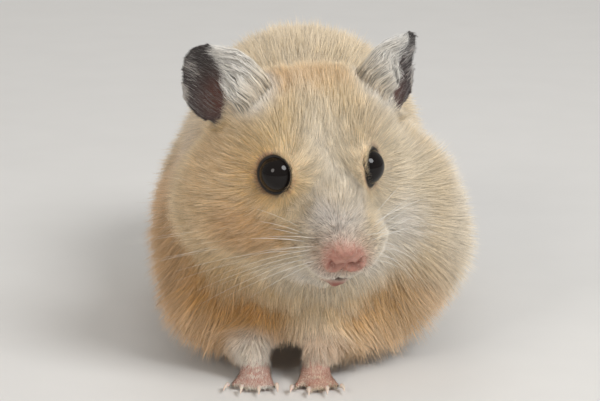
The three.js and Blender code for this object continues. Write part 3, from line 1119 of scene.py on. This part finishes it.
class HAMSTER_OT_whiskers(bpy.types.Operator):
    """Grows the long pale whiskers from the pads of the muzzle"""

    bl_idname = "hamster.whiskers"
    bl_label = "Whiskers"

    ROWS, IN_A_ROW = 5, 5
    THICKEST = 0.055  # a whisker's radius at its root
    SAG = np.array([0.0, 0.45, -0.85]) * 0.5  # back and down at the tip, by its length

    def execute(self, context):
        look = context.scene.hamster_look
        rng = np.random.default_rng(11)
        skin = SkinSurface()
        lines = []
        for side in SIDES.values():
            for row in range(self.ROWS):
                for k in range(self.IN_A_ROW):
                    back = 3.8 + 1.5 * k + rng.uniform(-0.5, 0.5)
                    height = 0.4 - 1.5 * row - 0.1 * k + rng.uniform(-0.6, 0.6)
                    root = skin.drop_from_side(side, back, height)
                    length = look.whisker_length * (0.58 + 0.14 * k) * rng.uniform(0.55, 1.1)
                    length = min(length, look.whisker_length)
                    rise = 0.22 - 0.24 * row + rng.uniform(-0.28, 0.28)
                    aim = np.array([side, 0.35 + 0.14 * k + rng.uniform(-0.15, 0.15), rise])
                    lines.append(self.whisker(root, aim, length))
        lines = np.array(lines)
        t = np.linspace(0, 1, lines.shape[1])
        radii = self.THICKEST * (1 - 0.8 * t) * rng.uniform(0.6, 1.0, (len(lines), 1))
        points, faces = tubes(lines, radii, 4)
        material = clouded(
            "Whisker", 150, 1, (0.86, 0.80, 0.72), (0.95, 0.92, 0.87), Roughness=0.35
        )
        put("whiskers", mesh_of("whiskers", points, faces, 3), material)
        return {"FINISHED"}

    def whisker(self, root, aim, length):
        t = np.linspace(0, 1, 12)[:, None]
        line = root + length * (unit(aim) * t + self.SAG * t**2) @ HEAD_AXES.T
        line[:, 2] = np.maximum(line[:, 2], 0.6)
        return line


# ---------------------------------------------------------------- coat


class SkinSurface:
    """The skin as arrays: its triangles, normals and places on its unwrap."""

    FARTHEST_ASIDE = 1.5

    def __init__(self):
        me = bpy.data.objects["skin"].data
        me.calc_loop_triangles()
        self.points = read(me.vertices, "co", 3) / MM
        self.normals = read(me.vertices, "normal", 3)
        self.triangles = read(me.loop_triangles, "vertices", 3, np.int32)
        corners = read(me.loop_triangles, "loops", 3, np.int32)
        self.places = read(me.uv_layers["OFBake"].uv, "vector", 2)[corners]
        a, b, c = (self.points[self.triangles[:, k]] for k in range(3))
        cross = np.cross(b - a, c - a)
        self.area = np.linalg.norm(cross, axis=1) / 2
        self.facing = unit(cross)
        self.middle = (a + b + c) / 3

    def scatter(self, count, share, rng):
        """Places spread over the skin, as many as share asks at each triangle."""
        total = np.cumsum(self.area * share)
        steps = (np.arange(count) + rng.uniform(0, 1, count)) / count * total[-1]
        chosen = np.searchsorted(total, steps).clip(0, len(total) - 1)
        u, v = rng.uniform(0, 1, (2, count))
        over = u + v > 1
        u[over], v[over] = 1 - u[over], 1 - v[over]
        mix = np.stack([1 - u - v, u, v], 1)[:, :, None]
        triangle = self.triangles[chosen]
        points = (self.points[triangle] * mix).sum(1)
        normals = unit((self.normals[triangle] * mix).sum(1))
        places = (self.places[chosen] * mix).sum(1)
        return points, normals, places

    @cached_property
    def tree(self):
        return BVHTree.FromPolygons(self.points.tolist(), self.triangles.tolist())

    def draped(self, lines, heights, aside):
        """Lines moved aside where they would run closer to the skin than these heights, and
        set in the skin at their roots."""
        lines = lines.copy()
        for line, way in zip(lines, aside):
            for k, height in enumerate(heights):
                place, normal, _, _ = self.tree.find_nearest(Vector(line[k]))
                over = (Vector(line[k]) - place).dot(normal)
                if k == 0 or (over < height and k == len(heights) - 1):
                    line[k] = place + normal * height
                elif over < height:
                    line[k] += way * min(height - over, self.FARTHEST_ASIDE)
        return lines

    def nearest(self, points):
        """The places on the skin that lie nearest to points, and where they are on its
        unwrap."""
        found = [self.tree.find_nearest(Vector(point)) for point in points]
        places = self.places[[triangle for _, _, triangle, _ in found]].mean(1)
        return np.array([place for place, _, _, _ in found]), places

    def drop_from_side(self, side, back, height):
        """The place where a line from one side meets the muzzle."""
        start = Vector(out_of_head([side * 20, back, height]))
        return np.array(self.tree.ray_cast(start, Vector(-side * HEAD_AXES[:, 0]))[0])


def gathered(points, cell, rng):
    """For each place, the number and the middle of the handful of places it clumps with."""
    keys = np.floor(points / cell + rng.uniform(-0.25, 0.25, points.shape)).astype(np.int64)
    keys -= keys.min(0)
    key = (keys[:, 0] * 4096 + keys[:, 1]) * 4096 + keys[:, 2]
    _, group = np.unique(key, return_inverse=True)
    count = np.bincount(group)
    middle = [(np.bincount(group, points[:, k]) / count)[group] for k in range(3)]
    return group, np.stack(middle, 1)


def ripple(points):
    """A slow wandering between -1 and 1 over the body, so that the coat isn't combed flat."""
    x, y, z = points.T
    wave = np.sin(0.53 * x + 0.31 * z + 1.3) * np.sin(0.47 * y - 0.29 * x + 0.4)
    return wave * 0.6 + 0.4 * np.sin(0.9 * z + 0.6 * y) * np.sin(1.1 * x - 0.7 * y + 2.0)


# A tuft is a spike on a three-sided foot. These are its faces and then, for each corner with
# the tip last, how far along the hair it is and where it lies in the tuft's patch.
SPIKE = [(0, 1, 3), (1, 2, 3), (2, 0, 3), (0, 2, 1)]
SPIKE_ALONG = [0.1, 0.1, 0.1, 1.0]
SPIKE_PATCH = [(1, -1), (0, -0.5), (-1, -1), (0, 1)]
CORNERS = 4
LONGEST = 10.2  # from a tuft's root to its tip
ROOT_DEPTH = 0.15  # how deep its foot stands in the skin
GATHERING = 1.7  # how far its tip moves to its clump's middle, by the clump's strength
LOWEST = 0.03  # over the floor
ROOT_PATCH = 0.0015  # half a tuft's patch on the unwrap
FACES_IN_A_PIECE = 199_000


def tuft_shapes(roots, normals, flow, coat, rng, clump):
    """The corners and outward directions of one tuft at each root, and its clump's whim."""
    count = len(roots)
    length, _, width, _, lift = coat.T
    aside = np.cross(normals, flow)
    group, heart = gathered(roots, np.clip(length.mean() * 0.2, 0.35, 1.6), rng)
    whim = rng.normal(0, 1, group.max() + 1)[group]
    length = np.minimum(length * rng.uniform(0.75, 1.15, count) * (1 + 0.08 * whim), LONGEST)
    swing = rng.normal(0, 0.13, count) + 0.16 * ripple(roots) + 0.04 * whim
    flow = unit(flow * np.cos(swing)[:, None] + aside * np.sin(swing)[:, None])
    aside = np.cross(normals, flow)
    rise = np.radians(lift + rng.normal(0, 4, count) + whim)[:, None]
    ahead = flow * np.cos(rise) + normals * np.sin(rise)
    heart = heart - roots
    heart -= normals * np.sum(heart * normals, 1)[:, None]
    tip = roots + ahead * length[:, None] + heart * clump * GATHERING
    base = roots - normals * ROOT_DEPTH
    over = unit(np.cross(ahead, aside))
    wide = (width * rng.uniform(0.75, 1.25, count))[:, None] / 2
    ring = [aside, over * 0.55, -aside]
    points = np.stack([*(base + wide * side for side in ring), tip], 1)
    points[:, :, 2] = np.maximum(points[:, :, 2], LOWEST)
    outward = unit(0.5 * normals[:, None] + 0.5 * np.stack([*ring, over], 1))
    return points, outward, whim


def lay_tufts(name, roots, normals, places, coat, marking, material, rng, clump):
    """Joined solid tufts that lean over the skin along the lie of the coat, in pieces of fewer
    than 200,000 triangles. Each is lit much as the body under it is."""
    flow = lie_of_coat(roots, normals)
    points, outward, whim = tuft_shapes(roots, normals, flow, coat, rng, clump)
    count = len(roots)
    shade = np.clip(rng.uniform(0, 1, count) * 0.7 + 0.15 + 0.13 * whim, 0, 1)
    order = np.argsort(roots[:, 1] + 0.3 * roots[:, 0], kind="stable")
    pieces = -(-count * len(SPIKE) // FACES_IN_A_PIECE)
    for number, chosen in enumerate(np.array_split(order, pieces)):
        title = f"{name}_{number + 1}" if pieces > 1 else name
        starts = CORNERS * np.arange(len(chosen))[:, None, None]
        faces = (np.array(SPIKE) + starts).reshape(-1)
        me = mesh_of(title, points[chosen].reshape(-1, 3), faces, 3)
        patches = places[chosen][:, None] + np.array(SPIKE_PATCH) * ROOT_PATCH
        write_unwrap(me, patches.reshape(-1, 2)[faces])
        write_colour(me, "marking", np.repeat(marking[chosen], CORNERS, axis=0))
        write_attribute(me, "along", "FLOAT", np.tile(SPIKE_ALONG, (len(chosen), 1)))
        write_attribute(me, "shade", "FLOAT", np.repeat(shade[chosen], CORNERS))
        piece = put(title, me, material)
        piece.data.normals_split_custom_set_from_vertices(outward[chosen].reshape(-1, 3))


def head_share(points):
    """1 where a tuft belongs to the head's pieces and 0 where it belongs to the body's."""
    head = into_head(points)
    return fall(head[:, 1], 30, 42) * ramp(head[:, 2], -22, -13)


class HAMSTER_OT_coat(bpy.types.Operator):
    """Grows the coat: soft locks over the body, finer ones on the head and down on the muzzle"""

    bl_idname = "hamster.coat"
    bl_label = "Coat"

    FINE_SHARE = 0.6  # of all tufts, narrower and more lifted than the others
    GUARD_SHARE = 0.03  # of all tufts, longer than the others
    GUARD_HAIR = (1.25, 1, 0.7, 1, 1.2)  # against its area's coat
    STUBBLE = ("head", (-1.2, 3.0, -1.6), (8.6, 4.6, 6.4), 0.9)
    STUBBLE_SHARE = 0.17  # of the tufts on the muzzle, dark, short and raised
    # Painted shade: the stubble's dark colour stands in for the shade between the short hairs
    # round the nose.
    STUBBLE_PAINTED_SHADE = (0.26, 0.16, 0.10)
    RIPPLE_DYE = (1.0, 1.4, 2.6)  # how much each colour follows the ripple

    def execute(self, context):
        look = context.scene.hamster_look
        skin = SkinSurface()
        # The root colour darkens each tuft towards the skin: partly the hair's own darker base,
        # partly painted shade deep in the coat.
        material = coat_material("Golden Coat", (0.72, 0.56, 0.42), (0.95, 0.91, 0.84), 0.85)
        coat = coat_at(skin.middle)
        density = coat[:, 3] * (1 - ear_share(skin.middle))
        under = ramp(-skin.facing[:, 2], 0.3, 0.9) * fall(skin.middle[:, 2], 4, 12)
        density *= 1 - 0.6 * under
        density *= 1 + 0.6 * fall(skin.middle[:, 1], -25, 5)
        head = head_share(skin.middle)
        down = fall(coat[:, 0], 1.2, 1.4)
        for name, count, share, clump, seed in (
            ("coat_head", look.face_tufts, density * head * (1 - down), 0.12, 3),
            ("coat_body", look.body_tufts, density * (1 - head) * (1 - down), 0.22, 5),
            ("coat_down", look.down_tufts, density * down, 0.1, 9),
        ):
            rng = np.random.default_rng(seed)
            roots, normals, places = skin.scatter(count, share, rng)
            own = coat_at(roots)
            own[:, 0] *= look.length_scale
            fine = rng.uniform(0, 1, count) < self.FINE_SHARE
            own[:, 2] *= look.width_scale * np.where(fine, 0.7, 1.3)
            own[:, 4] += np.where(fine, 3, 0)
            guard = rng.uniform(0, 1, count) < self.GUARD_SHARE
            own[guard] *= self.GUARD_HAIR
            marking = marking_at(roots, look)
            on_muzzle = within(roots, *self.STUBBLE)
            # Some muzzle tufts are darkened as painted shade between the short hairs.
            shaded_flecks = rng.uniform(0, 1, count) < self.STUBBLE_SHARE * on_muzzle
            marking[shaded_flecks] *= self.STUBBLE_PAINTED_SHADE
            own[shaded_flecks] *= (0.75, 1, 1.35, 1, 1)
            own[shaded_flecks, 4] += 18
            marking *= 1 + 0.05 * ripple(roots)[:, None] * self.RIPPLE_DYE
            lay_tufts(
                name, roots, normals, places, own, marking, material, rng, clump
            )
        return {"FINISHED"}


class HAMSTER_OT_ear_hair(bpy.types.Operator):
    """Lays down on the ears, grey hairs inside them and silvery hair along their front edge"""

    bl_idname = "hamster.ear_hair"
    bl_label = "Ear Hair"

    # Where the silvery hairs start, bend and end, from the top of the left ear down, in the
    # head's frame, and which way the ear opens.
    SWEEP = [
        [(8.8, 27.0, 20.0), (9.4, 25.0, 19.2), (11.6, 23.4, 17.4), (14.3, 23.4, 14.8)],
        [(13.4, 28.6, 27.6), (12.8, 27.2, 25.6), (13.8, 25.8, 22.6), (15.4, 24.8, 18.6)],
        [(18.9, 30.8, 25.4), (17.9, 30.4, 24.4), (16.6, 29.4, 21.8), (15.9, 28.2, 18.8)],
    ]
    OPEN = unit(EAR_OPEN)
    # How high over the skin the strands stay, from root to tip, and how wide they are.
    FRINGE_HEIGHTS, FRINGE_WIDTH = (-0.3, 0.4, 0.7, 0.8, 0.6, 0.35), 0.092
    INSIDE_HEIGHTS, INSIDE_WIDTH = (0.0, 0.1, 0.15, 0.2, 0.22, 0.22), 0.06
    DARK_SHARE = 0.12  # of the silvery hairs
    STRAY = (0.35, 0.55, 0.55)  # how far they stray where they start, bend and end
    # Inside the ear: the share of pale hairs, and the middles of their two patches on its leaf.
    PALE_SHARE = 0.55
    PATCH_AT, LOBE_AT = (-0.2, 0.45), (0.42, 0.72)

    def execute(self, context):
        look = context.scene.hamster_look
        skin = SkinSurface()
        self.down(look, skin)
        rng = np.random.default_rng(13)
        material = coat_material("Silver Hair", (0.95, 0.84, 0.68), (1.0, 1.0, 1.0), 0.5)
        white, grey = np.array(look.white), np.array(look.grey)
        silver, inside, tones, aside = [], [], [], []
        for side in SIDES.values():
            open_way = HEAD_AXES @ unit(mirrored(EAR_OPEN, side))
            aside.append(np.tile(open_way, (look.silver_hairs, 1)))
            silver.append(self.silver(side, look.silver_hairs, rng, skin))
            lines, tone = self.inside(side, look.silver_hairs // 2, rng)
            inside.append(lines)
            tones.append(tone)
        aside = np.concatenate(aside)
        silver = skin.draped(np.concatenate(silver), self.FRINGE_HEIGHTS, aside)
        dark = (rng.uniform(0, 1, (len(silver), 1)) < self.DARK_SHARE) * 0.75
        # Painted light: the silvery hairs are made a little brighter than white against the
        # shade they cast on one another.
        colours = white * 1.05 * (1 - dark) + np.array(look.ear) * dark
        lay_strands("ear_fringe", silver, self.FRINGE_WIDTH, colours, material, skin, rng)
        inside = skin.draped(np.concatenate(inside), self.INSIDE_HEIGHTS, aside[::2])
        tone = np.concatenate(tones)[:, None]
        colours = np.array(look.ear) * (1 - tone) + grey * tone
        lay_strands("ear_inside", inside, self.INSIDE_WIDTH, colours, material, skin, rng)
        return {"FINISHED"}

    def down(self, look, skin):
        rng = np.random.default_rng(7)
        material = coat_material("Ear Down", (0.7, 0.65, 0.65), (0.50, 0.47, 0.47), 0.8)
        roots, normals, places = skin.scatter(look.ear_tufts, ear_share(skin.middle), rng)
        marking = marking_at(roots, look)
        lay_over(marking, 0.22 * rng.uniform(0, 1, len(roots)) ** 3, look.grey)
        lay_tufts(
            "ear_down", roots, normals, places, coat_at(roots), marking, material, rng, 0.1,
        )

    def silver(self, side, count, rng, skin):
        """Long hairs from the head beside the ear, which sweep up over its front to the tip.
        They start all along the ear's foot, most of them near its top."""
        down = rng.uniform(0, 1, count) ** 1.2
        root, bow, tip = (
            np.stack([np.interp(down, np.linspace(0, 1, 4), curve[:, k]) for k in range(3)], 1)
            for curve in np.array(self.SWEEP, float)
        )
        forward = rng.uniform(0, 1, (count, 1)) ** 2 * [-0.6, -1.8, 0.3]
        at_root, at_bow, at_tip = self.STRAY
        root = root + rng.normal(0, at_root, root.shape) + forward
        bow = bow + rng.normal(0, at_bow, bow.shape)
        bow = bow + self.OPEN * rng.uniform(0, 0.8, (count, 1))
        tip = tip + rng.normal(0, at_tip, tip.shape)
        tip = tip + self.OPEN * rng.uniform(0.5, 1.2, (count, 1))
        root, bow, tip = (
            out_of_head(mirrored(places, side))[:, None] for places in (root, bow, tip)
        )
        root = skin.nearest(root[:, 0])[0][:, None]
        t = np.linspace(0, 1, 6)[:, None]
        return root * (1 - t) ** 2 + bow * 2 * t * (1 - t) + tip * t**2

    def inside(self, side, count, rng):
        """Hairs that lie over the hollow of the ear, pale in a patch and on the lower lobe,
        and how pale each is."""
        t = np.linspace(0, 1, 6)
        turn = rng.uniform(0, 2 * np.pi, (count, 1))
        spread = 0.9 * np.sqrt(rng.uniform(0.02, 1, (count, 1)))
        across, along = spread * np.cos(turn), spread * np.sin(turn) * 0.9
        pale = rng.uniform(0, 1, (count, 1)) < self.PALE_SHARE
        patch = rng.uniform(0, 1, (count, 1)) < 0.5
        at_across, at_along = np.where(patch, self.PATCH_AT, self.LOBE_AT).T[:, :, None]
        across = np.where(pale, at_across + rng.normal(0, 0.13, (count, 1)), across)
        along = np.where(pale, at_along + rng.normal(0, 0.11, (count, 1)), along)
        reach = rng.uniform(0.2, 0.45, (count, 1)) * np.where(pale, 0.7, 1)
        line_across = across - 0.5 * reach * t
        line_along = along + reach * t
        inwards = np.minimum(1, 0.9 / np.hypot(line_across, line_along))
        line_across, line_along = line_across * inwards, line_along * inwards
        height = 0.12 + rng.uniform(0.1, 0.35, (count, 1)) * t
        tone = np.where(pale, 0.8, 0.28)[:, 0] * rng.uniform(0.5, 1.2, count)
        return on_leaf(side, line_across, line_along, height), tone


class HAMSTER_PT_panel(bpy.types.Panel):
    """Lists the pieces of the hamster"""

    bl_idname = "HAMSTER_PT_panel"
    bl_label = "Hamster"
    bl_space_type = "VIEW_3D"
    bl_region_type = "UI"
    bl_category = "Hamster"

    def draw(self, context):
        for settings in (context.scene.hamster_look, context.scene.hamster_stage):
            box = self.layout.box()
            for name in settings.bl_rna.properties.keys():
                if name not in ("rna_type", "name"):
                    box.prop(settings, name)
        for operator in OPERATORS:
            self.layout.operator(operator.bl_idname)


OPERATORS = (
    HAMSTER_OT_stage,
    HAMSTER_OT_skin,
    HAMSTER_OT_eyes,
    HAMSTER_OT_claws,
    HAMSTER_OT_whiskers,
    HAMSTER_OT_coat,
    HAMSTER_OT_ear_hair,
)
CLASSES = (HamsterLook, HamsterStage, *OPERATORS, HAMSTER_PT_panel)


def register():
    for cls in CLASSES:
        bpy.utils.register_class(cls)
    bpy.types.Scene.hamster_look = PointerProperty(type=HamsterLook)
    bpy.types.Scene.hamster_stage = PointerProperty(type=HamsterStage)


def unregister():
    del bpy.types.Scene.hamster_stage
    del bpy.types.Scene.hamster_look
    for cls in reversed(CLASSES):
        bpy.utils.unregister_class(cls)


def main():
    register()
    bpy.ops.hamster.stage()
    bpy.ops.hamster.skin()
    bpy.ops.hamster.eyes()
    bpy.ops.hamster.claws()
    bpy.ops.hamster.whiskers()
    bpy.ops.hamster.coat()
    bpy.ops.hamster.ear_hair()


if __name__ == "__main__":
    main()
